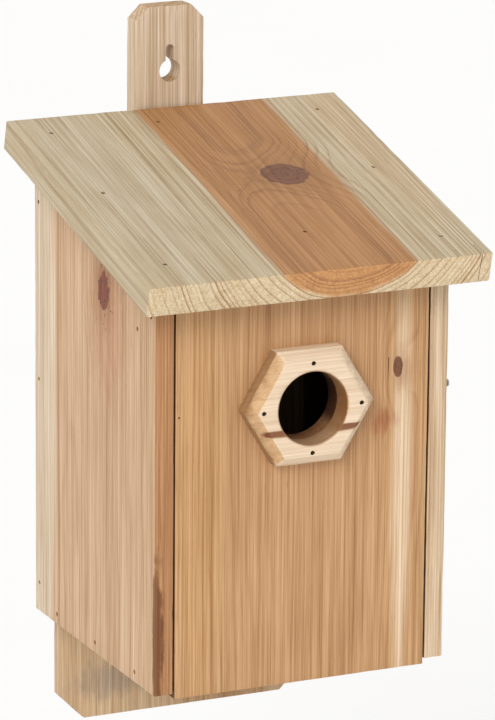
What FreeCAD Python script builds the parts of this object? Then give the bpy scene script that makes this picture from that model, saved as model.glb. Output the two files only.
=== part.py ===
import FreeCAD, Part
import math
import os

from FreeCAD import Vector

# A wall-hung nest box of planed boards, nailed together, whose front panel swings out at the
# bottom on two pivot nails. Axes: X across, Y from the front towards the wall, Z up. It is
# modelled from the front bottom edge of the sides, and moved at the end so that the origin
# is the keyhole that the box hangs from, at the wall.

# Box
BOX_WIDTH = 150.0
BOX_DEPTH = 144.5
SIDE_FRONT_HEIGHT = 192.0
SIDE_THICKNESS = 9.5

# Roof board
ROOF_PITCH = 14.0
ROOF_WIDTH = 174.0
ROOF_THICKNESS = 14.6
ROOF_FRONT_OVERHANG = 17.2

# Back board, and the hanger batten on its spacer
BACK_THICKNESS = 9.5
BACK_BELOW = 57.0
BACK_CHAMFER = 12.2
SPACER_THICKNESS = 9.5
BATTEN_WIDTH = 36.0
BATTEN_THICKNESS = 11.0
BATTEN_TOP = 293.5
BATTEN_CHAMFER = 6.7
BATTEN_END_ABOVE_BACK_END = 20.0
KEYHOLE_BELOW_TOP = 32.0
KEYHOLE_DIAMETER = 11.0
KEYHOLE_SLOT_WIDTH = 4.4
KEYHOLE_SLOT_REACH = 13.0

# Floor and top rail
FLOOR_THICKNESS = 10.0
RAIL_THICKNESS = 9.5
RAIL_HEIGHT = 34.0

# Front panel
PANEL_THICKNESS = 10.0
PANEL_BELOW = 2.6
PANEL_SIDE_GAP = 0.7
PANEL_TOP_GAP = 2.5
PANEL_FLOOR_GAP = 0.8
PIVOT_BELOW_PANEL_TOP = 8.5
PIVOT_CLEARANCE = 0.06
RAIL_CLEARANCE = 0.9

# Entrance and its hexagonal plate
ENTRANCE_DIAMETER = 35.0
ENTRANCE_HEIGHT = 134.0
PLATE_THICKNESS = 11.0
PLATE_WIDTH = 67.0  # point to point
PLATE_HEIGHT = 55.0  # flat to flat
PLATE_BEVEL = 4.5
PLATE_NAIL_SPREAD = 50.0  # left nail to right nail
PLATE_NAIL_RISE = 43.0  # top nail to bottom nail

# Nails
NAIL_DIAMETER = 1.3
NAIL_LENGTH = 30.0
NAIL_TIP = 2.5
NAIL_HEAD_RATIO = 1.5
NAIL_HEAD_THICKNESS = 0.8
NAIL_SUNK = 0.5
ROOF_NAIL_LENGTH = 24.0
BATTEN_NAIL_LENGTH = 28.0
PLATE_NAIL_LENGTH = 19.0
ROOF_BACK_NAIL_X = -14.0
ROOF_RAIL_NAIL_X = 8.0
PIVOT_NAIL_DIAMETER = 2.4
PIVOT_NAIL_LENGTH = 26.0
LATCH_NAIL_DIAMETER = 2.4
LATCH_HEIGHT = 134.0
LATCH_PROUD = 2.8
LATCH_GAP = 0.3

pitch = math.radians(ROOF_PITCH)
inner_half = BOX_WIDTH / 2 - SIDE_THICKNESS
batten_front = BOX_DEPTH + SPACER_THICKNESS
wall_y = batten_front + BATTEN_THICKNESS
back_front = BOX_DEPTH - BACK_THICKNESS
back_middle = BOX_DEPTH - BACK_THICKNESS / 2
back_end = -BACK_BELOW
batten_half = BATTEN_WIDTH / 2
batten_end = back_end + BATTEN_END_ABOVE_BACK_END
keyhole_z = BATTEN_TOP - KEYHOLE_BELOW_TOP
floor_front = PANEL_THICKNESS + PANEL_FLOOR_GAP
panel_top = SIDE_FRONT_HEIGHT - PANEL_TOP_GAP
pivot_y = PANEL_THICKNESS / 2
pivot_z = panel_top - PIVOT_BELOW_PANEL_TOP
panel_swing = math.hypot(PIVOT_BELOW_PANEL_TOP, PANEL_THICKNESS / 2)
rail_front = pivot_y + panel_swing + RAIL_CLEARANCE
rail_middle = rail_front + RAIL_THICKNESS / 2

ACROSS = Vector(1, 0, 0)
BACKWARD = Vector(0, 1, 0)
ROOF_NORMAL = Vector(0, -math.sin(pitch), math.cos(pitch))


def roof_z(y):
    """Height of the roof's underside at depth y."""
    return SIDE_FRONT_HEIGHT + y * math.tan(pitch)


rail_bottom = roof_z(rail_front) - RAIL_HEIGHT
nails = {}
nail_holes = {}


def block(x0, x1, y0, y1, z0, z1):
    return Part.makeBox(x1 - x0, y1 - y0, z1 - z0, Vector(x0, y0, z0))


def plank(outline, y, thickness):
    """A board standing across the box: (x, z) outline at depth y."""
    corners = [Vector(x, y, z) for x, z in outline]
    return Part.Face(Part.makePolygon(corners + corners[:1])).extrude(BACKWARD * thickness)


def under_roof(shape):
    """Bevels a board's upper end along the roof's underside."""
    reach = 2 * BOX_DEPTH
    sky = roof_z(reach) + BOX_WIDTH
    corners = [
        Vector(-BOX_WIDTH, -reach, roof_z(-reach)),
        Vector(-BOX_WIDTH, reach, roof_z(reach)),
        Vector(-BOX_WIDTH, reach, sky),
        Vector(-BOX_WIDTH, -reach, sky),
    ]
    outline = Part.Face(Part.makePolygon(corners + corners[:1]))
    return shape.cut(outline.extrude(ACROSS * 2 * BOX_WIDTH))


def drive_nail(node, face_point, way, length=NAIL_LENGTH, diameter=NAIL_DIAMETER, proud=-NAIL_SUNK):
    """Adds a flat-headed nail to a node, and keeps the hole that it makes in the boards."""
    way = Vector(way).normalize()
    start = face_point - way * proud
    head = Part.makeCylinder(diameter / 2 * NAIL_HEAD_RATIO, NAIL_HEAD_THICKNESS, start, way)
    shank_length = length - NAIL_TIP
    shank = Part.makeCylinder(diameter / 2, shank_length, start, way)
    tip = Part.makeCone(diameter / 2, diameter / 16, NAIL_TIP, start + way * shank_length, way)
    solid = head.fuse(shank).fuse(tip).removeSplitter()
    hole = solid
    if proud < 0:
        mouth = face_point - way * NAIL_SUNK
        depth = NAIL_SUNK + NAIL_HEAD_THICKNESS
        hole = hole.fuse(Part.makeCylinder(diameter / 2 * NAIL_HEAD_RATIO, depth, mouth, way))
    nails.setdefault(node, []).append(solid)
    nail_holes.setdefault(node, []).append(hole)


def side_face(sign, y, z):
    return Vector(sign * BOX_WIDTH / 2, y, z)


def roof_face(x, y):
    """The point on the roof's top face that a nail is driven from, to meet (x, y) below."""
    return Vector(x, y, roof_z(y)) + ROOF_NORMAL * ROOF_THICKNESS


def drive_all_nails():
    floor_span = back_front - floor_front
    back_low = 14.6
    back_high = roof_z(BOX_DEPTH) - 22.0
    back_mid = back_low + (back_high - back_low) * 0.54
    rail_nail_z = roof_z(rail_middle) - 25.0
    for side, sign in (("left", -1), ("right", 1)):
        inward = ACROSS * -sign
        for z in (back_low, back_mid, back_high):
            drive_nail(side + "_back_nails", side_face(sign, back_middle, z), inward)
        for share in (0.1, 0.48, 0.86):
            y = floor_front + floor_span * share
            drive_nail(side + "_floor_nails", side_face(sign, y, FLOOR_THICKNESS / 2), inward)
        drive_nail(side + "_rail_nail", side_face(sign, rail_middle, rail_nail_z), inward)
        over_side = sign * (BOX_WIDTH - SIDE_THICKNESS) / 2
        for share in (0.025, 0.52, 0.955):
            top = roof_face(over_side, BOX_DEPTH * share)
            drive_nail("roof_" + side + "_nails", top, -ROOF_NORMAL, ROOF_NAIL_LENGTH)
        drive_nail(
            side + "_pivot_nail",
            side_face(sign, pivot_y, pivot_z),
            inward,
            PIVOT_NAIL_LENGTH,
            PIVOT_NAIL_DIAMETER,
        )
    back_point = roof_face(ROOF_BACK_NAIL_X, back_middle)
    drive_nail("roof_back_nail", back_point, -ROOF_NORMAL, ROOF_NAIL_LENGTH)
    rail_point = roof_face(ROOF_RAIL_NAIL_X, rail_middle)
    drive_nail("roof_rail_nail", rail_point, -ROOF_NORMAL, ROOF_NAIL_LENGTH)
    for x in (-inner_half * 0.6, inner_half * 0.6):
        drive_nail("rear_floor_nails", Vector(x, BOX_DEPTH, FLOOR_THICKNESS / 2), -BACKWARD)
    batten_high = roof_z(BOX_DEPTH) - 30.0
    batten_low = batten_end + 25.0
    for z in (batten_low, (batten_low + batten_high) / 2, batten_high):
        for x in (-batten_half / 2, batten_half / 2):
            drive_nail("hanger_nails", Vector(x, wall_y, z), -BACKWARD, BATTEN_NAIL_LENGTH)
    for quarter in range(4):
        angle = math.radians(90 * quarter)
        x = PLATE_NAIL_SPREAD / 2 * math.cos(angle)
        z = ENTRANCE_HEIGHT + PLATE_NAIL_RISE / 2 * math.sin(angle)
        point = Vector(x, -PLATE_THICKNESS, z)
        drive_nail("entrance_plate_nails", point, BACKWARD, PLATE_NAIL_LENGTH)
    reach = SIDE_THICKNESS + PANEL_SIDE_GAP + LATCH_PROUD - LATCH_GAP
    latch_point = side_face(1, pivot_y, LATCH_HEIGHT)
    drive_nail("latch_nail", latch_point, -ACROSS, reach, LATCH_NAIL_DIAMETER, LATCH_PROUD)


def nailed(board, *nodes):
    """A board with the holes of the named groups of nails."""
    for node in nodes:
        for hole in nail_holes[node]:
            board = board.cut(hole)
    return board


def side_panel(side, sign):
    outer = sign * BOX_WIDTH / 2
    inner = sign * inner_half
    tall = roof_z(BOX_DEPTH) + ROOF_THICKNESS
    board = block(min(outer, inner), max(outer, inner), 0, BOX_DEPTH, 0, tall)
    board = under_roof(board)
    groups = [side + kind for kind in ("_back_nails", "_floor_nails", "_rail_nail", "_pivot_nail")]
    board = nailed(board, "roof_" + side + "_nails", *groups)
    if side == "right":
        radius = LATCH_NAIL_DIAMETER / 2 + PIVOT_CLEARANCE
        start = side_face(1, pivot_y, LATCH_HEIGHT)
        board = board.cut(Part.makeCylinder(radius, SIDE_THICKNESS, start, -ACROSS))
    return board


def back_board():
    tall = roof_z(BOX_DEPTH) + ROOF_THICKNESS
    outline = [
        (-inner_half, back_end + BACK_CHAMFER),
        (-inner_half + BACK_CHAMFER, back_end),
        (inner_half - BACK_CHAMFER, back_end),
        (inner_half, back_end + BACK_CHAMFER),
        (inner_half, tall),
        (-inner_half, tall),
    ]
    board = under_roof(plank(outline, back_front, BACK_THICKNESS))
    groups = ("left_back_nails", "right_back_nails", "rear_floor_nails", "hanger_nails")
    return nailed(board, "roof_back_nail", *groups)


def batten_spacer():
    """A strip that brings the batten out to the roof's back edge."""
    tall = roof_z(batten_front)
    outline = [
        (-batten_half, batten_end),
        (batten_half, batten_end),
        (batten_half, tall),
        (-batten_half, tall),
    ]
    return nailed(under_roof(plank(outline, BOX_DEPTH, SPACER_THICKNESS)), "hanger_nails")


def hanger_batten():
    shoulder = BATTEN_TOP - BATTEN_CHAMFER
    outline = [
        (-batten_half, batten_end),
        (batten_half, batten_end),
        (batten_half, shoulder),
        (batten_half - BATTEN_CHAMFER, BATTEN_TOP),
        (-batten_half + BATTEN_CHAMFER, BATTEN_TOP),
        (-batten_half, shoulder),
    ]
    board = plank(outline, batten_front, BATTEN_THICKNESS)
    slot_half = KEYHOLE_SLOT_WIDTH / 2
    slot_top = keyhole_z + KEYHOLE_SLOT_REACH - slot_half
    entry = Vector(0, batten_front, keyhole_z)
    neck = Vector(0, batten_front, slot_top)
    keyhole = Part.makeCylinder(KEYHOLE_DIAMETER / 2, BATTEN_THICKNESS, entry, BACKWARD)
    keyhole = keyhole.fuse(block(-slot_half, slot_half, batten_front, wall_y, keyhole_z, slot_top))
    keyhole = keyhole.fuse(Part.makeCylinder(slot_half, BATTEN_THICKNESS, neck, BACKWARD))
    return nailed(board.cut(keyhole), "hanger_nails")


def floor_board():
    board = block(-inner_half, inner_half, floor_front, back_front, 0, FLOOR_THICKNESS)
    return nailed(board, "left_floor_nails", "right_floor_nails", "rear_floor_nails")


def top_rail():
    tall = roof_z(BOX_DEPTH)
    rail_back = rail_front + RAIL_THICKNESS
    board = under_roof(block(-inner_half, inner_half, rail_front, rail_back, rail_bottom, tall))
    return nailed(board, "left_rail_nail", "right_rail_nail", "roof_rail_nail")


def roof_board():
    """One board with square-cut ends, its back edge against the hanger batten."""
    length = (batten_front + ROOF_FRONT_OVERHANG) / math.cos(pitch)
    uphill = Vector(0, math.cos(pitch), math.sin(pitch)) * length
    eaves = roof_z(-ROOF_FRONT_OVERHANG)
    foot = Vector(-ROOF_WIDTH / 2, -ROOF_FRONT_OVERHANG, eaves)
    top = ROOF_NORMAL * ROOF_THICKNESS
    corners = [foot, foot + uphill, foot + uphill + top, foot + top]
    outline = Part.Face(Part.makePolygon(corners + corners[:1]))
    board = outline.extrude(ACROSS * ROOF_WIDTH)
    groups = ("roof_left_nails", "roof_right_nails", "roof_back_nail", "roof_rail_nail")
    return nailed(board, *groups)


def entrance_hole():
    start = Vector(0, -PLATE_THICKNESS, ENTRANCE_HEIGHT)
    depth = PLATE_THICKNESS + PANEL_THICKNESS
    return Part.makeCylinder(ENTRANCE_DIAMETER / 2, depth, start, BACKWARD)


def front_panel():
    half = inner_half - PANEL_SIDE_GAP
    board = block(-half, half, 0, PANEL_THICKNESS, -PANEL_BELOW, panel_top)
    board = nailed(board.cut(entrance_hole()), "entrance_plate_nails")
    for sign in (-1, 1):
        radius = PIVOT_NAIL_DIAMETER / 2 + PIVOT_CLEARANCE
        start = side_face(sign, pivot_y, pivot_z)
        hole = Part.makeCylinder(radius, PIVOT_NAIL_LENGTH + 1, start, ACROSS * -sign)
        board = board.cut(hole)
    return board


def hexagon(inset, y):
    """A hexagonal wire at depth y, flat at the top and bottom, drawn in by inset."""
    lean = PLATE_WIDTH / (2 * PLATE_HEIGHT)
    reach = PLATE_WIDTH / 2 - inset * math.hypot(1, lean)
    rise = PLATE_HEIGHT / 2 - inset
    corner = reach - lean * rise
    upper = [(reach, 0), (corner, rise), (-corner, rise)]
    corners = [Vector(x, y, ENTRANCE_HEIGHT + z) for x, z in upper]
    corners += [Vector(-x, y, ENTRANCE_HEIGHT - z) for x, z in upper]
    return Part.makePolygon(corners + corners[:1])


def entrance_plate():
    flat = PLATE_THICKNESS - PLATE_BEVEL
    base = Part.Face(hexagon(0, 0)).extrude(-BACKWARD * flat)
    wide = hexagon(0, -flat)
    narrow = hexagon(PLATE_BEVEL, -PLATE_THICKNESS)
    plate = base.fuse(Part.makeLoft([wide, narrow], True)).removeSplitter()
    return nailed(plate.cut(entrance_hole()), "entrance_plate_nails")


drive_all_nails()
parts = {
    "left_side_panel": side_panel("left", -1),
    "right_side_panel": side_panel("right", 1),
    "back_board": back_board(),
    "batten_spacer": batten_spacer(),
    "hanger_batten": hanger_batten(),
    "floor_board": floor_board(),
    "top_rail": top_rail(),
    "roof_board": roof_board(),
    "front_panel": front_panel(),
    "entrance_plate": entrance_plate(),
}
for node, solids in nails.items():
    parts[node] = Part.makeCompound(solids)

os.makedirs("parts", exist_ok=True)
for node, shape in parts.items():
    placed = shape.copy()
    placed.translate(Vector(0, -wall_y, -keyhole_z))
    placed.exportStep("parts/" + node + ".step")
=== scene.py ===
import math

import bmesh
import bpy
from mathutils import Matrix, Vector, noise


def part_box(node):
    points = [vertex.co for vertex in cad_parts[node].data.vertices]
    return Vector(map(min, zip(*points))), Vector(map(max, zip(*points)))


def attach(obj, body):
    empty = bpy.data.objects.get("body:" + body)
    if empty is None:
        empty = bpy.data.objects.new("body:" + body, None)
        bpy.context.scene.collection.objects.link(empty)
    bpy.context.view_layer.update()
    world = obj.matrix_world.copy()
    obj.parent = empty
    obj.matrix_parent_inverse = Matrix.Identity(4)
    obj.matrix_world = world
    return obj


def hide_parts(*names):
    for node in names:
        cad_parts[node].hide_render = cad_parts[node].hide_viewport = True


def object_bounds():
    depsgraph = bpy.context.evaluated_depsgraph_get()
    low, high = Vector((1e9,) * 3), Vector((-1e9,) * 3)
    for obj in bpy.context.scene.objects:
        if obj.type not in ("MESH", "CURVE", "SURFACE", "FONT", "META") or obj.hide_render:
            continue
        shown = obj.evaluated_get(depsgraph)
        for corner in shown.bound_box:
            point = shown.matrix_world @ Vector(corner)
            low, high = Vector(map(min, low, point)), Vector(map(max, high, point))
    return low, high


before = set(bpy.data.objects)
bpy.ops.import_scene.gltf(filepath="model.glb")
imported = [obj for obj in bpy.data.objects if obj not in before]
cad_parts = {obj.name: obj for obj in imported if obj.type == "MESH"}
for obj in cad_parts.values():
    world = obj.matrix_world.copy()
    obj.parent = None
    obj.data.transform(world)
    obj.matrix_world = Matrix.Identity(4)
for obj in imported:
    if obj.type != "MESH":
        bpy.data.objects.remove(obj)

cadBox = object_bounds()
mm = 0.001
print("frame loaded:", len(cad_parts), "nodes")


class Value:  # a shader socket that can be used in sums
    def __init__(self, paint, socket):
        self.paint = paint
        self.socket = socket

    def math(self, operation, *others):
        return self.paint.node("ShaderNodeMath", {"operation": operation}, [self, *others])

    def __add__(self, other):
        return self.math("ADD", other)

    __radd__ = __add__

    def __sub__(self, other):
        return self.math("SUBTRACT", other)

    def __rsub__(self, other):
        return self * -1 + other

    def __mul__(self, other):
        return self.math("MULTIPLY", other)

    __rmul__ = __mul__

    def __truediv__(self, other):
        return self.math("DIVIDE", other)

    def __pow__(self, other):
        return self.math("POWER", other)


class Paint:  # one material and its nodes
    def __init__(self, name):
        self.material = bpy.data.materials.new(name)
        self.material.use_nodes = True
        self.tree = self.material.node_tree
        self.tree.nodes.clear()

    def node(self, kind, settings=None, values=None, output=0):
        made = self.tree.nodes.new(kind)
        for key, setting in (settings or {}).items():
            if key == "stops":
                self.setStops(made.color_ramp, setting)
            else:
                setattr(made, key, setting)
        pairs = values.items() if isinstance(values, dict) else enumerate(values or [])
        for key, value in pairs:
            if isinstance(value, Value):
                self.tree.links.new(value.socket, made.inputs[key])
            elif value is not None:
                made.inputs[key].default_value = value
        return Value(self, made.outputs[output])

    def setStops(self, ramp, stops):
        while len(ramp.elements) > 1:
            ramp.elements.remove(ramp.elements[-1])
        ramp.elements[0].position, ramp.elements[0].color = stops[0]
        for place, color in stops[1:]:
            ramp.elements.new(place).color = color

    def step(self, value, low, high, start=0.0, end=1.0):
        settings = {"interpolation_type": "SMOOTHSTEP"}
        return self.node("ShaderNodeMapRange", settings, [value, low, high, start, end])

    def dot(self, vector, direction):
        settings = {"operation": "DOT_PRODUCT"}
        return self.node("ShaderNodeVectorMath", settings, [vector, tuple(direction)], "Value")

    def vector(self, x, y, z):
        return self.node("ShaderNodeCombineXYZ", {}, [x, y, z])

    def cloud(self, x, y, z, detail=2.0, roughness=0.5, output=0):
        values = {"Vector": self.vector(x, y, z), "Scale": 1.0, "Detail": detail, "Roughness": roughness}
        return self.node("ShaderNodeTexNoise", {}, values, output)

    def mix(self, factor, first, second, blend="MIX"):
        settings = {"data_type": "RGBA", "blend_type": blend, "clamp_factor": True}
        values = {0: factor, 6: solid(first), 7: solid(second)}
        return self.node("ShaderNodeMix", settings, values, 2)

    def finish(self, color, roughness, normal=None, metallic=0.0, specular=0.35):
        values = {"Base Color": color, "Roughness": roughness, "Metallic": metallic}
        values["Specular IOR Level"] = specular
        if normal:
            values["Normal"] = normal
        shader = self.node("ShaderNodeBsdfPrincipled", {}, values)
        output = self.tree.nodes.new("ShaderNodeOutputMaterial")
        self.tree.links.new(shader.socket, output.inputs["Surface"])
        return self.material


def solid(color):
    return (*color, 1.0) if isinstance(color, tuple) and len(color) == 3 else color


# Each board is a solid piece of a tree: growth rings stand about a pith line along the fibre,
# so that faces and end grain agree. Lengths are in millimetres in the frame's own axes.

softwood = {
    "sap": (0.60, 0.47, 0.33),
    "heart": (0.50, 0.31, 0.17),
    "late": (0.33, 0.19, 0.10),
    "lateStrength": 0.50,
    "heartRadius": 48.0,
    "heartRagged": 3.0,
    "heartSoft": 1.5,
    "ringWidth": 2.3,
    "ringWarp": 5.0,
    "fibreStrength": 0.85,
    "streakStrength": 0.6,
    "mottle": 0.16,
    "endTint": (0.80, 0.68, 0.52),
    "knotColor": (0.20, 0.105, 0.075),
    "knotEdge": (0.12, 0.06, 0.04),
    "roughness": 0.68,
    "bump": 0.5,
    "seed": 0.0,
    "knots": [],
    "stains": [],
    "faces": [],
}


def wood(name, fibre, across, through, pith, **changes):
    look = {**softwood, **changes}
    paint = Paint(name)
    seed = look["seed"] * 37.0
    place = paint.node("ShaderNodeTexCoord", {}, {}, "Object")
    normal = paint.node("ShaderNodeTexCoord", {}, {}, "Normal")
    point = paint.node("ShaderNodeVectorMath", {"operation": "SCALE"}, {0: place, "Scale": 1000.0})
    w = paint.dot(point, fibre)
    s = paint.dot(point, across)
    t = paint.dot(point, through)

    warp = paint.cloud(s / 55 + seed, t / 55, w / 190, 2.0, 0.5, 1)
    sideways = paint.node("ShaderNodeSeparateXYZ", {}, [warp], 0)
    inwards = paint.node("ShaderNodeSeparateXYZ", {}, [warp], 1)
    u = s - pith[0] + (sideways - 0.5) * look["ringWarp"] * 2
    v = t - pith[1] + (inwards - 0.5) * look["ringWarp"] * 2
    radius = (u * u + v * v) ** 0.5
    steady = ((s - pith[0]) ** 2.0 + (t - pith[1]) ** 2.0) ** 0.5

    knotParts = []
    for knot in look["knots"]:
        ks = (s - knot["at"][0]) / knot["size"][0]
        kw = (w - knot["at"][1]) / knot["size"][1]
        wobble = (paint.cloud(s / 4, t / 4, w / 4, 2.0) - 0.5) * knot.get("ragged", 0.35)
        reach = (ks * ks + kw * kw) ** 0.5 + wobble
        flow = paint.step(reach, 0.6, knot.get("flow", 4.0), 1.0, 0.0)
        radius = radius + flow * knot.get("push", 7.0)
        mask = paint.step(reach, 1.0, 0.86)
        rim = paint.step((reach - 0.95).math("ABSOLUTE"), 0.0, 0.14, 1.0, 0.0)
        heart = paint.step((reach * 15.0).math("SINE"), -0.6, 0.9, 0.0, 0.45)
        tone = paint.mix(heart, knot.get("color", look["knotColor"]), look["knotEdge"])
        burst = paint.cloud(s / 2.2, t / 2.2, w / 2.2 + seed, 3.0, 0.7)
        tone = paint.mix(paint.step(burst, 0.58, 0.66) * 0.7, tone, (0.05, 0.025, 0.018))
        tone = paint.mix(rim * 0.85, tone, look["knotEdge"])
        halo = paint.step(reach, 2.8, 0.9, 0.0, knot.get("halo", 0.4))
        knotParts.append((mask, tone, halo))

    uneven = paint.cloud(radius / 7 + seed, w / 400, seed, 1.0)
    phase = radius / look["ringWidth"] + uneven * 3.0
    saw = phase.math("FRACT")
    lateStops = [
        (0.0, (0.35, 0.35, 0.35, 1)),
        (0.10, (0.0, 0.0, 0.0, 1)),
        (0.55, (0.12, 0.12, 0.12, 1)),
        (0.90, (1.0, 1.0, 1.0, 1)),
        (1.0, (0.45, 0.45, 0.45, 1)),
    ]
    late = paint.node("ShaderNodeValToRGB", {"stops": lateStops}, [saw])
    late = paint.node("ShaderNodeRGBToBW", {}, [late])
    vary = paint.cloud(radius / 5 + 9.0 + seed, w / 600, seed, 1.0)
    late = late * paint.step(vary, 0.25, 0.75, 0.25, 1.0)

    fine = paint.cloud(s * 2.3 + seed, t * 2.3, w * 0.011, 3.0, 0.7)
    streak = paint.cloud(s * 0.8 + seed, t * 0.8, w * 0.007, 3.0, 0.65)
    coarse = paint.cloud(s * 0.3 + seed, t * 0.3, w * 0.008, 2.0, 0.5)
    mottle = paint.cloud(s / 16 + seed, t / 16, w / 42, 3.0, 0.55)
    pores = paint.cloud(s * 1.5, t * 1.5 + seed, w * 0.11, 1.0, 0.5)

    edge = paint.cloud(s / 9, t / 9 + seed, w / 70, 2.0)
    ragged = steady + (edge - 0.5) * look["heartRagged"]
    soft = look["heartSoft"]
    heart = paint.step(ragged, look["heartRadius"] - soft, look["heartRadius"] + soft, 1.0, 0.0)
    color = paint.mix(heart, look["sap"], look["heart"])
    lateColor = paint.mix(0.5, color, look["late"])
    endGrain = paint.step(paint.dot(normal, fibre).math("ABSOLUTE"), 0.55, 0.85)
    late = late * (endGrain * 0.35 + 1.0)
    color = paint.mix(late * look["lateStrength"], color, lateColor)
    color = paint.mix(late * late * look["lateStrength"] * 0.8, color, look["late"])

    shade = 1.0 + (fine - 0.5) * 2 * look["fibreStrength"] + (streak - 0.5) * 2 * look["streakStrength"]
    shade = shade + (coarse - 0.5) * look["streakStrength"]
    shade = shade + (mottle - 0.5) * 2 * look["mottle"]
    shade = shade * paint.step(pores, 0.70, 0.78, 1.0, 0.86)
    color = paint.mix(endGrain, color, paint.mix(1.0, color, look["endTint"], "MULTIPLY"))
    fuzz = paint.cloud(s * 1.3, t * 1.3, w * 1.3 + seed, 4.0, 0.7)
    shade = shade * (1.0 + (fuzz - 0.5) * endGrain * 0.55)
    for stain in look["stains"]:
        away = paint.node("ShaderNodeVectorMath", {"operation": "SUBTRACT"}, [point, stain["at"]])
        away = paint.node("ShaderNodeVectorMath", {"operation": "DIVIDE"}, [away, stain["size"]])
        away = paint.node("ShaderNodeVectorMath", {"operation": "LENGTH"}, [away], "Value")
        ragged = stain.get("ragged", 0.5)
        grain = stain.get("grain", 0.08)
        patch = paint.cloud(s * 0.35 + seed, t * 0.35, w * grain, 3.0, 0.6)
        cover = paint.step(away + (patch - 0.5) * ragged * 2, 1.05, 1.05 - stain.get("soft", 0.5))
        color = paint.mix(cover * stain["amount"], color, stain["color"])
    for mask, tone, halo in knotParts:
        specks = paint.cloud(s * 0.55, t * 0.55, w * 0.4 + seed, 1.0, 0.4)
        color = paint.mix(halo, color, look["late"])
        color = paint.mix(paint.step(specks, 0.70, 0.74) * halo * 1.6, color, look["knotEdge"])
        color = paint.mix(mask, color, tone)
    # Tints by facing direction: some are the wood's own tones, others are painted shade (the gap faces
    # and the plate's left bevel).
    for way, tint in look["faces"]:
        facing = paint.step(paint.dot(normal, way), 0.7, 0.9)
        color = paint.mix(facing, color, paint.mix(1.0, color, tint, "MULTIPLY"))
    gray = paint.vector(shade ** 0.75, shade, shade ** 1.4)
    color = paint.node("ShaderNodeVectorMath", {"operation": "MULTIPLY"}, [color, gray])

    height = fine * 0.5 + late * 0.35 + coarse * 0.4 + fuzz * endGrain * 1.2
    relief = {"Strength": look["bump"], "Distance": 0.0005, "Height": height}
    bump = paint.node("ShaderNodeBump", {}, relief)
    rough = (fine - 0.5) * 0.16 + look["roughness"] - late * 0.06
    return paint.finish(color, rough, bump)


edges = {
    "rounding": 0.55,
    "plateRounding": 0.35,
    "grid": 5.0,
    "plateGrid": 4.0,
    "waviness": 0.10,
    "chips": 0.45,
    "sharpAngle": 38,
    "flatsSampled": 400,
}
nailHole = {"radius": 1.03, "flare": 1.3, "depth": 1.5, "headReach": 0.9}


def newObject(name, bm):
    mesh = bpy.data.meshes.new(name)
    bm.to_mesh(mesh)
    bm.free()
    piece = bpy.data.objects.new(name, mesh)
    bpy.context.scene.collection.objects.link(piece)
    return piece


def turned(profile, start, direction, sides=24):  # a closed turned shape: (distance along, radius)
    bm = bmesh.new()
    turn = direction.to_track_quat("Z", "Y").to_matrix().to_4x4()
    rings = []
    for along, radius in profile:
        ring = []
        for index in range(sides):
            angle = 2 * math.pi * index / sides
            spot = Vector((radius * math.cos(angle), radius * math.sin(angle), along))
            ring.append(bm.verts.new(start + turn @ spot))
        rings.append(ring)
    for low, high in zip(rings, rings[1:]):
        for index in range(sides):
            after = (index + 1) % sides
            bm.faces.new((low[index], low[after], high[after], high[index]))
    bm.faces.new(list(reversed(rings[0])))
    bm.faces.new(rings[-1])
    return bm


def cutAway(piece, cutters):
    for cutter in cutters:
        tool = newObject("cutter", cutter)
        modifier = piece.modifiers.new("cut", "BOOLEAN")
        modifier.object = tool
        modifier.operation = "DIFFERENCE"
        modifier.solver = "EXACT"
        bpy.context.view_layer.update()
        graph = bpy.context.evaluated_depsgraph_get()
        mesh = bpy.data.meshes.new_from_object(piece.evaluated_get(graph))
        piece.modifiers.clear()
        old = piece.data
        piece.data = mesh
        bpy.data.meshes.remove(old)
        bpy.data.objects.remove(tool)


def nailMouths(node):  # one shallow hole over each nail of a group, from the nails themselves
    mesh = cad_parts[node].data
    bm = bmesh.new()
    bm.from_mesh(mesh)
    bmesh.ops.remove_doubles(bm, verts=bm.verts, dist=1e-7)
    headReach = nailHole["headReach"] * mm
    unseen = set(bm.verts)
    mouths = []
    for start in bm.verts:
        if start not in unseen:
            continue
        unseen.discard(start)
        stack = [start]
        group = [start]
        while stack:
            for edge in stack.pop().link_edges:
                for vert in edge.verts:
                    if vert in unseen:
                        unseen.discard(vert)
                        stack.append(vert)
                        group.append(vert)
        first = max(group, key=lambda vert: (vert.co - group[0].co).length)
        last = max(group, key=lambda vert: (vert.co - first.co).length)
        axis = (last.co - first.co).normalized()
        ends = []
        for end, way in ((first.co, axis), (last.co, -axis)):
            near = [vert.co for vert in group if (vert.co - end).dot(way) < headReach]
            center = sum(near, Vector()) / len(near)
            width = max((spot - center - way * (spot - center).dot(way)).length for spot in near)
            ends.append((width, center))
        ends.sort(key=lambda item: item[0])
        inside, outside = ends[0][1], ends[1][1]
        way = (inside - outside).normalized()
        top = min((vert.co - outside).dot(way) for vert in group)
        mouths.append((outside + way * top, way))
    bm.free()
    cutters = []
    radius = nailHole["radius"] * mm
    for center, way in mouths:
        profile = [(-nailHole["depth"] * mm, radius * nailHole["flare"]), (0.15 * mm, radius)]
        cutters.append(turned(profile, center, way, 16))
    return cutters


def slit(center, size, turn=0.0):  # a thin crack, narrower at its foot, leaning about y
    bm = bmesh.new()
    bmesh.ops.create_cube(bm, size=1.0)
    for vert in bm.verts:
        taper = 0.25 if vert.co.z < 0 else 1.0
        vert.co.x *= taper
        vert.co = Vector((vert.co[k] * size[k] for k in range(3)))
    bmesh.ops.rotate(bm, verts=bm.verts, cent=Vector(), matrix=Matrix.Rotation(turn, 3, "Y"))
    bmesh.ops.translate(bm, verts=bm.verts, vec=center)
    return bm


def roundEdges(bm, offset, clamp):
    bmesh.ops.bevel(
        bm,
        geom=bm.edges[:],
        offset=offset * mm,
        segments=2,
        profile=0.6,
        affect="EDGES",
        clamp_overlap=clamp,
    )


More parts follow.
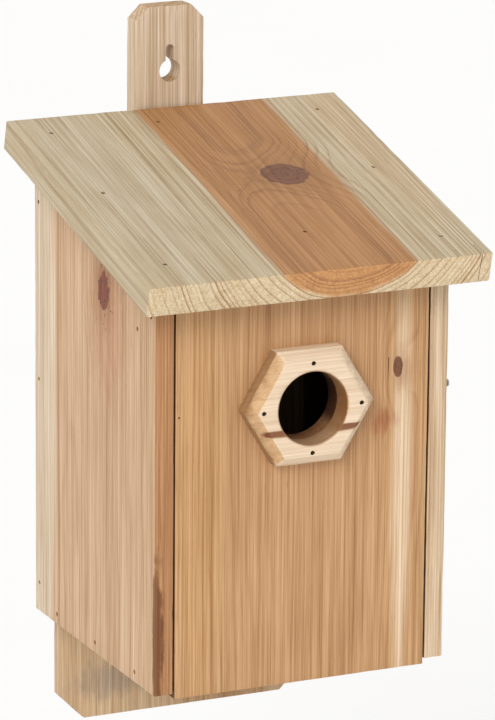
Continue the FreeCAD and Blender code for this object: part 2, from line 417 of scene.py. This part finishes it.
def roughen(bm, seed, grid, axes):  # cuts a grid into the faces, then waves them and chips the edges
    for axis in axes:
        reach = [vert.co.dot(axis) for vert in bm.verts]
        count = max(1, round((max(reach) - min(reach)) / (grid * mm)))
        for index in range(1, count):
            spot = axis * (min(reach) + (max(reach) - min(reach)) * index / count)
            geometry = bm.verts[:] + bm.edges[:] + bm.faces[:]
            bmesh.ops.bisect_plane(bm, geom=geometry, dist=1e-7, plane_co=spot, plane_no=axis)
    bm.normal_update()
    flats = [face.normal.copy() for face in bm.faces if face.calc_area() > (grid * mm) ** 2 * 0.5]
    shift = Vector((seed * 3.1, seed * 1.7, seed * 0.9))
    moves = []
    for vert in bm.verts:
        wave = noise.noise(vert.co * 28 + shift) * edges["waviness"]
        onEdge = max(vert.normal.dot(flat) for flat in flats[:edges["flatsSampled"]]) < 0.995
        if onEdge:
            wave -= max(0.0, noise.noise(vert.co * 160 + shift) - 0.12) * edges["chips"]
        moves.append((vert, vert.normal * wave * mm))
    for vert, move in moves:
        vert.co += move


def board(node, body, corners, travel, material, cutters=(), seed=1.0, nails=()):
    bm = bmesh.new()
    face = bm.faces.new([bm.verts.new(corner) for corner in corners])
    made = bmesh.ops.extrude_face_region(bm, geom=[face])
    moved = [vert for vert in made["geom"] if isinstance(vert, bmesh.types.BMVert)]
    bmesh.ops.translate(bm, verts=moved, vec=travel)
    bmesh.ops.recalc_face_normals(bm, faces=bm.faces)
    roundEdges(bm, edges["rounding"], True)
    ways = [(corners[1] - corners[0]).normalized(), travel.normalized()]
    ways.append(ways[0].cross(ways[1]).normalized())
    roughen(bm, seed, edges["grid"], ways)
    return settle(node, body, newObject(node + ".wood", bm), material, cutters, nails)


def settle(node, body, piece, material, cutters, nails):
    for group in nails:
        cutters = [*cutters, *nailMouths(group)]
    cutAway(piece, cutters)
    piece.data.materials.clear()
    piece.data.materials.append(material)
    for polygon in piece.data.polygons:
        polygon.use_smooth = True
        polygon.material_index = 0
    piece.data.set_sharp_from_angle(angle=math.radians(edges["sharpAngle"]))
    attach(piece, body)
    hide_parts(node)
    return piece


right, back, up = Vector((1, 0, 0)), Vector((0, 1, 0)), Vector((0, 0, 1))
pitch = math.radians(14.0)
uphill = Vector((0, math.cos(pitch), math.sin(pitch)))
roofNormal = Vector((0, -math.sin(pitch), math.cos(pitch)))


def across(outline, y):  # (x, z) corners standing at depth y
    return [Vector((x, y, z)) for x, z in outline]


roofBoard = {
    "pith": (13.5, 33.5),
    "knotAcross": 23.8,
    "knotFromFront": 96.0,
    "endCrack": {"x": 81.2, "size": (0.55, 12.0, 40.0), "turn": 0.03},
    "checks": ((58.0, 5.0), (64.0, 8.0), (70.0, 7.0)),
    "checkWidth": 0.4,
    "checkDepth": 1.6,
}
roofLook = {
    "sap": (0.49, 0.395, 0.255),
    "heart": (0.40, 0.20, 0.08),
    "late": (0.22, 0.10, 0.04),
    "endTint": (1.40, 1.37, 1.33),
    "heartRadius": 48.0,
    "ringWidth": 2.7,
    "ringWarp": 3.0,
    "seed": 1.0,
    "lateStrength": 0.7,
    "streakStrength": 0.42,
    "fibreStrength": 0.9,
    "stains": [
        {"at": (-62.0, -100.0, -30.0), "size": (34.0, 130.0, 60.0), "color": (0.49, 0.41, 0.28),
         "amount": 0.55, "soft": 0.7},
        {"at": (78.0, -60.0, -30.0), "size": (16.0, 130.0, 50.0), "color": (0.54, 0.40, 0.25),
         "amount": 0.5, "soft": 0.6},
    ],
}
low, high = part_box("roof_board")
span, rise = high.y - low.y, high.z - low.z
thickness = (rise * math.cos(pitch) - span * math.sin(pitch)) / math.cos(2 * pitch)
length = (span - thickness * math.sin(pitch)) / math.cos(pitch)
foot = Vector((low.x, low.y + thickness * math.sin(pitch), low.z))
corners = [foot, foot + uphill * length, foot + uphill * length + roofNormal * thickness]
corners.append(foot + roofNormal * thickness)
topLevel = (foot + roofNormal * thickness).dot(roofNormal) / mm
frontLevel = foot.dot(uphill) / mm
roofKnot = {
    "at": (roofBoard["knotAcross"], frontLevel + roofBoard["knotFromFront"]),
    "size": (12.5, 11.5),
    "push": 9.0,
    "flow": 3.6,
    "color": (0.20, 0.085, 0.045),
    "halo": 0.2,
}
roofPith = (roofBoard["pith"][0], topLevel + roofBoard["pith"][1])
roofWood = wood("roof wood", uphill, right, roofNormal, roofPith, knots=[roofKnot], **roofLook)
frontFace = foot + roofNormal * thickness * 0.5
endCrack = roofBoard["endCrack"]
endSpot = Vector((endCrack["x"] * mm, frontFace.y + 2 * mm, frontFace.z))
checks = [slit(endSpot, Vector(endCrack["size"]) * mm, endCrack["turn"])]
for x, reach in roofBoard["checks"]:
    spot = foot + roofNormal * thickness + uphill * reach * mm * 0.5
    size = Vector((roofBoard["checkWidth"], reach, roofBoard["checkDepth"])) * mm
    checks.append(slit(Vector((x * mm, spot.y, spot.z)), size, 0.2))
board(
    "roof_board", "box", corners, right * (high.x - low.x), roofWood, checks, 1.0,
    ["roof_left_nails", "roof_right_nails", "roof_back_nail", "roof_rail_nail"],
)
print("roof made")

sideLook = {
    "sap": (0.60, 0.45, 0.30),
    "heart": (0.55, 0.36, 0.215),
    "late": (0.38, 0.19, 0.09),
    "ringWidth": 3.0,
    "lateStrength": 0.55,
    "ringWarp": 7.0,
}
sides = {
    "left": {"seed": 2.0, "heartRadius": 150.0, "pithOut": -70.0, "frontTint": (0.76, 0.57, 0.40)},
    "right": {"seed": 3.0, "heartRadius": 30.0, "pithOut": 70.0, "frontTint": (1.0, 0.98, 0.95)},
}
# Painted shade: a dark multiply for the faces that look into the gaps between the front panel and the
# side panels.
gapPaintedShade = (0.22, 0.16, 0.12)
sideKnot = {
    "at": (-105.0, -81.0),
    "size": (6.5, 10.0),
    "push": 8.0,
    "flow": 5.0,
    "color": (0.22, 0.06, 0.03),
    "ragged": 0.9,
    "halo": 0.8,
}


def leftStains(face, low, high):  # bark at the front, pale back strip, resin, dark line, red cast
    return [
        {"at": (face, low.y / mm, low.z / mm + 28.0), "size": (5.0, 2.6, 46.0),
         "color": (0.20, 0.095, 0.04), "amount": 0.9, "soft": 0.4, "ragged": 0.6},
        {"at": (face, high.y / mm - 4.0, -150.0), "size": (12.0, 22.0, 240.0),
         "color": (0.62, 0.50, 0.36), "amount": 0.85, "soft": 0.2, "ragged": 0.15, "grain": 0.01},
        {"at": (face, -106.0, -80.0), "size": (12.0, 7.0, 10.0),
         "color": (0.12, 0.035, 0.02), "amount": 0.9, "soft": 0.35, "ragged": 1.3, "grain": 0.12},
        {"at": (face, -50.0, -150.0), "size": (12.0, 1.6, 240.0),
         "color": (0.34, 0.17, 0.08), "amount": 0.6, "soft": 0.8, "ragged": 0.5, "grain": 0.01},
        {"at": (face, -112.0, -95.0), "size": (12.0, 30.0, 52.0),
         "color": (0.46, 0.24, 0.13), "amount": 0.6, "soft": 0.8, "ragged": 0.8},
    ]


for name, side in sides.items():
    low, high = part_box(name + "_side_panel")
    onLeft = name == "left"
    frontHeight = high.z - (high.y - low.y) * math.tan(pitch)
    corners = [
        Vector((low.x, low.y, low.z)),
        Vector((low.x, high.y, low.z)),
        Vector((low.x, high.y, high.z)),
        Vector((low.x, low.y, frontHeight)),
    ]
    outside = (low.x if onLeft else high.x) / mm
    sideWood = wood(
        name + " side wood", up, back, right, (-62.0, outside + side["pithOut"]),
        heartRadius=side["heartRadius"],
        seed=side["seed"],
        knots=[sideKnot] if onLeft else [],
        stains=leftStains(outside, low, high) if onLeft else [],
        # The inner face gets the painted gap shade; the front edge gets the side's own tint.
        faces=[(right if onLeft else -right, gapPaintedShade), (-back, side["frontTint"])],
        **sideLook,
    )
    groups = ["_back_nails", "_floor_nails", "_rail_nail", "_pivot_nail"]
    board(
        name + "_side_panel", "box", corners, right * (high.x - low.x), sideWood, [],
        side["seed"], ["roof_" + name + "_nails"] + [name + group for group in groups],
    )
print("sides made")

backBoard = {"chamfer": 12.2}
backLook = {
    "sap": (0.52, 0.36, 0.21),
    "heart": (0.44, 0.27, 0.14),
    "heartRadius": 60.0,
    "ringWidth": 3.0,
    "seed": 4.0,
    "lateStrength": 0.45,
}
low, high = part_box("back_board")
cut = backBoard["chamfer"] * mm
backTop = high.z - (high.y - low.y) * math.tan(pitch)
outline = [(low.x, low.z + cut), (low.x + cut, low.z), (high.x - cut, low.z)]
outline += [(high.x, low.z + cut), (high.x, backTop), (low.x, backTop)]
backStain = {
    "at": (-38.0, low.y / mm, -300.0),
    "size": (26.0, 6.0, 12.0),
    "color": (0.26, 0.20, 0.15),
    "amount": 0.6,
    "soft": 0.8,
    "ragged": 0.8,
}
backPith = (22.0, low.y / mm + 55.0)
backWood = wood("back wood", up, right, back, backPith, stains=[backStain], **backLook)
board(
    "back_board", "box", across(outline, low.y), back * (high.y - low.y), backWood,
    [], 4.0, ["rear_floor_nails"],
)

hanger = {"chamfer": 6.7, "keyhole": 11.0, "slot": 4.4, "slotReach": 13.0}
hangerLook = {
    "sap": (0.60, 0.46, 0.32),
    "heart": (0.50, 0.34, 0.21),
    "heartRadius": 22.0,
    "ringWidth": 2.6,
    "seed": 5.0,
    "lateStrength": 0.6,
    "ringWarp": 2.0,
}
low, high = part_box("hanger_batten")
cut = hanger["chamfer"] * mm
outline = [(low.x, low.z), (high.x, low.z), (high.x, high.z - cut), (high.x - cut, high.z)]
outline += [(low.x + cut, high.z), (low.x, high.z - cut)]
hangerWood = wood("hanger wood", up, right, back, (34.0, low.y / mm - 30.0), **hangerLook)


def keyholeCutter():
    bm = bmesh.new()
    half, radius = hanger["slot"] / 2, hanger["keyhole"] / 2
    lean = math.asin(half / radius)
    points = []
    for index in range(33):
        angle = math.pi / 2 + lean + (2 * math.pi - 2 * lean) * index / 32
        points.append((radius * math.cos(angle), radius * math.sin(angle)))
    for index in range(9):
        angle = math.pi * index / 8
        neck = hanger["slotReach"] - half
        points.append((half * math.cos(angle), neck + half * math.sin(angle)))
    face = bm.faces.new([bm.verts.new((x * mm, low.y - 2 * mm, z * mm)) for x, z in points])
    made = bmesh.ops.extrude_face_region(bm, geom=[face])
    moved = [vert for vert in made["geom"] if isinstance(vert, bmesh.types.BMVert)]
    bmesh.ops.translate(bm, verts=moved, vec=back * 15 * mm)
    bmesh.ops.recalc_face_normals(bm, faces=bm.faces)
    return bm


board(
    "hanger_batten", "box", across(outline, low.y), back * (high.y - low.y),
    hangerWood, [keyholeCutter()], 5.0, ["hanger_nails"],
)


def crossBoard(node, body, material, seed, slope=0.0, cutters=()):  # drawn from its end
    low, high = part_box(node)
    frontTop = high.z - (high.y - low.y) * slope
    corners = [low.copy(), Vector((low.x, high.y, low.z)), Vector((low.x, high.y, high.z))]
    corners.append(Vector((low.x, low.y, frontTop)))
    board(node, body, corners, right * (high.x - low.x), material, cutters, seed)


inside = {"railPith": (-120.0, -40.0), "floorPith": (-70.0, -200.0)}
crossBoard("batten_spacer", "box", hangerWood, 6.0, math.tan(pitch))
railWood = wood("rail wood", right, back, up, inside["railPith"], seed=7.0)
crossBoard("top_rail", "box", railWood, 7.0, math.tan(pitch))
floorWood = wood("floor wood", right, back, up, inside["floorPith"], seed=8.0)
crossBoard("floor_board", "box", floorWood, 8.0)
print("back and inside made")

front = {"hole": 35.0, "rim": 0.7, "plateBevel": 4.5}
plateLow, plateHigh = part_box("entrance_plate")
holeCenter = Vector((0, 0, (plateLow.z + plateHigh.z) / 2))


def entranceCutter(near, far, roundNear, roundFar):
    radius, rim = front["hole"] / 2 * mm, front["rim"] * mm
    profile = [(-3 * mm, radius + (rim + 3 * mm if roundNear else 0))]
    profile += [(0, radius + (rim if roundNear else 0)), (rim * 0.4, radius + rim * 0.25 * roundNear)]
    depth = far - near
    profile += [(rim, radius), (depth - rim, radius)]
    profile += [(depth - rim * 0.4, radius + rim * 0.25 * roundFar)]
    profile += [(depth, radius + rim * roundFar)]
    profile += [(depth + 3 * mm, radius + (rim + 3 * mm) * roundFar)]
    return turned(profile, Vector((holeCenter.x, near, holeCenter.z)), back, 96)


low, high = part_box("front_panel")
frontLook = {
    "sap": (0.52, 0.30, 0.14),
    "heart": (0.49, 0.27, 0.125),
    "late": (0.34, 0.15, 0.055),
    "heartRadius": 72.0,
    "ringWidth": 3.1,
    "seed": 9.0,
    "lateStrength": 0.6,
    "ringWarp": 6.0,
    # The side edges, which look into the gaps beside the side panels, get the painted gap shade; the
    # inner face is darkened as well.
    "faces": [(right, gapPaintedShade), (-right, gapPaintedShade), (back, (0.5, 0.42, 0.36))],
    "knots": [{"at": (49.0, -115.5), "size": (2.6, 5.4), "push": 5.0, "flow": 6.0,
               "color": (0.20, 0.08, 0.035), "halo": 0.15}],
    "stains": [
        {"at": (52.0, low.y / mm, -170.0), "size": (7.0, 8.0, 140.0), "color": (0.66, 0.48, 0.31),
         "amount": 0.95, "soft": 0.8, "ragged": 0.2, "grain": 0.01},
        {"at": (0.0, high.y / mm, holeCenter.z / mm), "size": (18.0, 60.0, 18.0),
         "color": (0.24, 0.11, 0.045), "amount": 0.85, "soft": 0.06, "ragged": 0.02},
        {"at": (52.0, low.y / mm, -118.0), "size": (7.0, 6.0, 16.0), "color": (0.36, 0.15, 0.06),
         "amount": 0.4, "soft": 0.9, "ragged": 0.9},
        {"at": (41.0, low.y / mm, -141.0), "size": (9.0, 6.0, 9.0), "color": (0.36, 0.12, 0.05),
         "amount": 0.75, "soft": 0.9, "ragged": 0.9},
        {"at": (-52.0, low.y / mm, -170.0), "size": (14.0, 8.0, 150.0), "color": (0.52, 0.28, 0.11),
         "amount": 0.45, "soft": 0.7, "ragged": 0.3, "grain": 0.01},
    ],
}
frontMarks = {"crackAt": (44.0, -117.0), "crackSize": (0.4, 2.4, 13.0), "pinholeAt": (-63.0, -128.0)}
frontWood = wood("front wood", up, right, back, (6.0, low.y / mm + 62.0), **frontLook)
crackX, crackZ = frontMarks["crackAt"]
crackSize = Vector(frontMarks["crackSize"]) * mm
crack = slit(Vector((crackX * mm, low.y, crackZ * mm)), crackSize, 0.02)
pinholeX, pinholeZ = frontMarks["pinholeAt"]
pinholeSpot = Vector((pinholeX * mm, low.y, pinholeZ * mm))
pinhole = turned([(-2 * mm, 0.55 * mm), (0.8 * mm, 0.5 * mm)], pinholeSpot, back, 12)
hole = entranceCutter(low.y, high.y, 0, 1)
crossBoard("front_panel", "front_door", frontWood, 9.0, 0.0, [hole, crack, pinhole])

plateLook = {
    "sap": (0.76, 0.59, 0.42),
    "heart": (0.72, 0.52, 0.35),
    "late": (0.46, 0.28, 0.15),
    "heartRadius": 30.0,
    "ringWidth": 2.8,
    "seed": 10.0,
    "lateStrength": 0.25,
    "fibreStrength": 0.3,
    "streakStrength": 0.3,
    "mottle": 0.08,
    "endTint": (0.46, 0.34, 0.22),
    # Painted shade: the bevel faces that turn left and forwards are tinted darker tan, so the bevelled
    # edge reads as shaded.
    "faces": [(Vector((-0.78, -0.62, 0.0)), (0.78, 0.64, 0.47))],
    "stains": [
        {"at": (0.0, plateLow.y / mm, holeCenter.z / mm - 10.5), "size": (60.0, 4.0, 2.0),
         "color": (0.22, 0.085, 0.035), "amount": 1.0, "soft": 0.5, "ragged": 0.4, "grain": 0.05},
        {"at": (0.0, plateHigh.y / mm, holeCenter.z / mm), "size": (18.0, 60.0, 18.0),
         "color": (0.30, 0.15, 0.06), "amount": 0.85, "soft": 0.06, "ragged": 0.02},
    ],
}
platePith = (holeCenter.z / mm - 60.0, plateLow.y / mm - 26.0)
plateWood = wood("plate wood", right, up, back, platePith, **plateLook)


def platePiece():
    bm = bmesh.new()
    bevel = front["plateBevel"] * mm
    wide, tall = plateHigh.x - plateLow.x, plateHigh.z - plateLow.z
    lean = wide / (2 * tall)
    rings = []
    for y, inset in ((plateHigh.y, 0), (plateLow.y + bevel, 0), (plateLow.y, bevel)):
        reach = wide / 2 - inset * math.hypot(1, lean)
        rise = tall / 2 - inset
        corner = reach - lean * rise
        upper = [(reach, 0), (corner, rise), (-corner, rise)]
        spots = upper + [(-x, -z) for x, z in upper]
        rings.append([bm.verts.new((x, y, holeCenter.z + z)) for x, z in spots])
    for first, second in zip(rings, rings[1:]):
        for index in range(6):
            after = (index + 1) % 6
            bm.faces.new((first[index], first[after], second[after], second[index]))
    bm.faces.new(rings[0])
    bm.faces.new(rings[-1])
    bmesh.ops.recalc_face_normals(bm, faces=bm.faces)
    roundEdges(bm, edges["plateRounding"], False)
    roughen(bm, 10.0, edges["plateGrid"], [right, up])
    return newObject("entrance_plate.wood", bm)


settle(
    "entrance_plate", "front_door", platePiece(), plateWood,
    [entranceCutter(plateLow.y, plateHigh.y, 1, 0)], ["entrance_plate_nails"],
)
print("front made")


def nailSteel(name, dull, bright):
    paint = Paint(name)
    place = paint.node("ShaderNodeTexCoord", {}, {}, "Object")
    speck = paint.node("ShaderNodeTexNoise", {}, {"Vector": place, "Scale": 900.0, "Detail": 3.0})
    color = paint.mix(paint.step(speck, 0.35, 0.65), dull, bright)
    bump = paint.node("ShaderNodeBump", {}, {"Strength": 0.3, "Distance": 0.0001, "Height": speck})
    return paint.finish(color, speck * 0.3 + 0.35, bump, 0.85, 0.5)


steel = nailSteel("nail steel", (0.008, 0.006, 0.005), (0.035, 0.026, 0.02))
newSteel = nailSteel("latch steel", (0.36, 0.35, 0.34), (0.55, 0.54, 0.52))
for node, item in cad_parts.items():
    if "nail" in node:
        item.data.materials.clear()
        item.data.materials.append(newSteel if node == "latch_nail" else steel)

view = {
    "azimuth": 24.904, "elevation": 15.191, "roll": 0.494, "distance": 2300.0, "lens": 240.49,
    "target": (6.195, -90.0, -126.43),
}


def aim(item, target, roll=0.0):
    way = (target - item.location).normalized()
    side = way.cross(up).normalized()
    top = side.cross(way)
    turnedSide = side * math.cos(roll) + top * math.sin(roll)
    turnedTop = top * math.cos(roll) - side * math.sin(roll)
    facing = Matrix((turnedSide, turnedTop, -way)).transposed().to_4x4()
    item.matrix_world = Matrix.Translation(item.location) @ facing


azimuth, elevation = math.radians(view["azimuth"]), math.radians(view["elevation"])
level = math.cos(elevation)
out = Vector((-math.sin(azimuth) * level, -math.cos(azimuth) * level, math.sin(elevation)))
target = Vector(view["target"]) * mm
lens = bpy.data.cameras.new("camera")
lens.lens = view["lens"]
lens.sensor_width = 36.0
lens.clip_start = 0.1
lens.clip_end = 100.0
camera = bpy.data.objects.new("camera", lens)
bpy.context.scene.collection.objects.link(camera)
camera.location = target + out * view["distance"] * mm
aim(camera, target, math.radians(view["roll"]))
bpy.context.scene.camera = camera

studio = {"floorDrop": 0.35, "floorSize": 30.0, "world": 0.72}
lamps = [
    {"name": "key", "from": (-0.60, -0.62, 0.58), "power": 1.75, "angle": 32.0,
     "color": (1.0, 0.98, 0.95)},
    {"name": "rear", "from": (0.5, 0.7, 0.6), "power": 0.25, "angle": 60.0,
     "color": (1.0, 1.0, 1.0)},
]
for lamp in lamps:
    light = bpy.data.lights.new(lamp["name"], "SUN")
    light.energy = lamp["power"]
    light.angle = math.radians(lamp["angle"])
    light.color = lamp["color"]
    item = bpy.data.objects.new(lamp["name"], light)
    bpy.context.scene.collection.objects.link(item)
    item.location = Vector(lamp["from"]) * 3
    aim(item, Vector())

floorMesh = bmesh.new()
bmesh.ops.create_grid(floorMesh, x_segments=1, y_segments=1, size=studio["floorSize"])
bmesh.ops.translate(floorMesh, verts=floorMesh.verts, vec=up * (cadBox[0][2] - studio["floorDrop"]))
ground = newObject("floor", floorMesh)
pale = Paint("pale floor")
place = pale.node("ShaderNodeTexCoord", {}, {}, "Object")
drift = pale.node("ShaderNodeTexNoise", {}, {"Vector": place, "Scale": 3.0, "Detail": 2.0})
paleColor = pale.mix(drift, (0.90, 0.90, 0.90), (0.93, 0.93, 0.93))
ground.data.materials.append(pale.finish(paleColor, 0.9))

world = bpy.data.worlds.new("studio")
bpy.context.scene.world = world
world.use_nodes = True
world.node_tree.nodes["Background"].inputs[0].default_value = (1, 1, 1, 1)
world.node_tree.nodes["Background"].inputs[1].default_value = studio["world"]
bpy.context.scene.view_settings.view_transform = "Standard"
print("camera and light set")
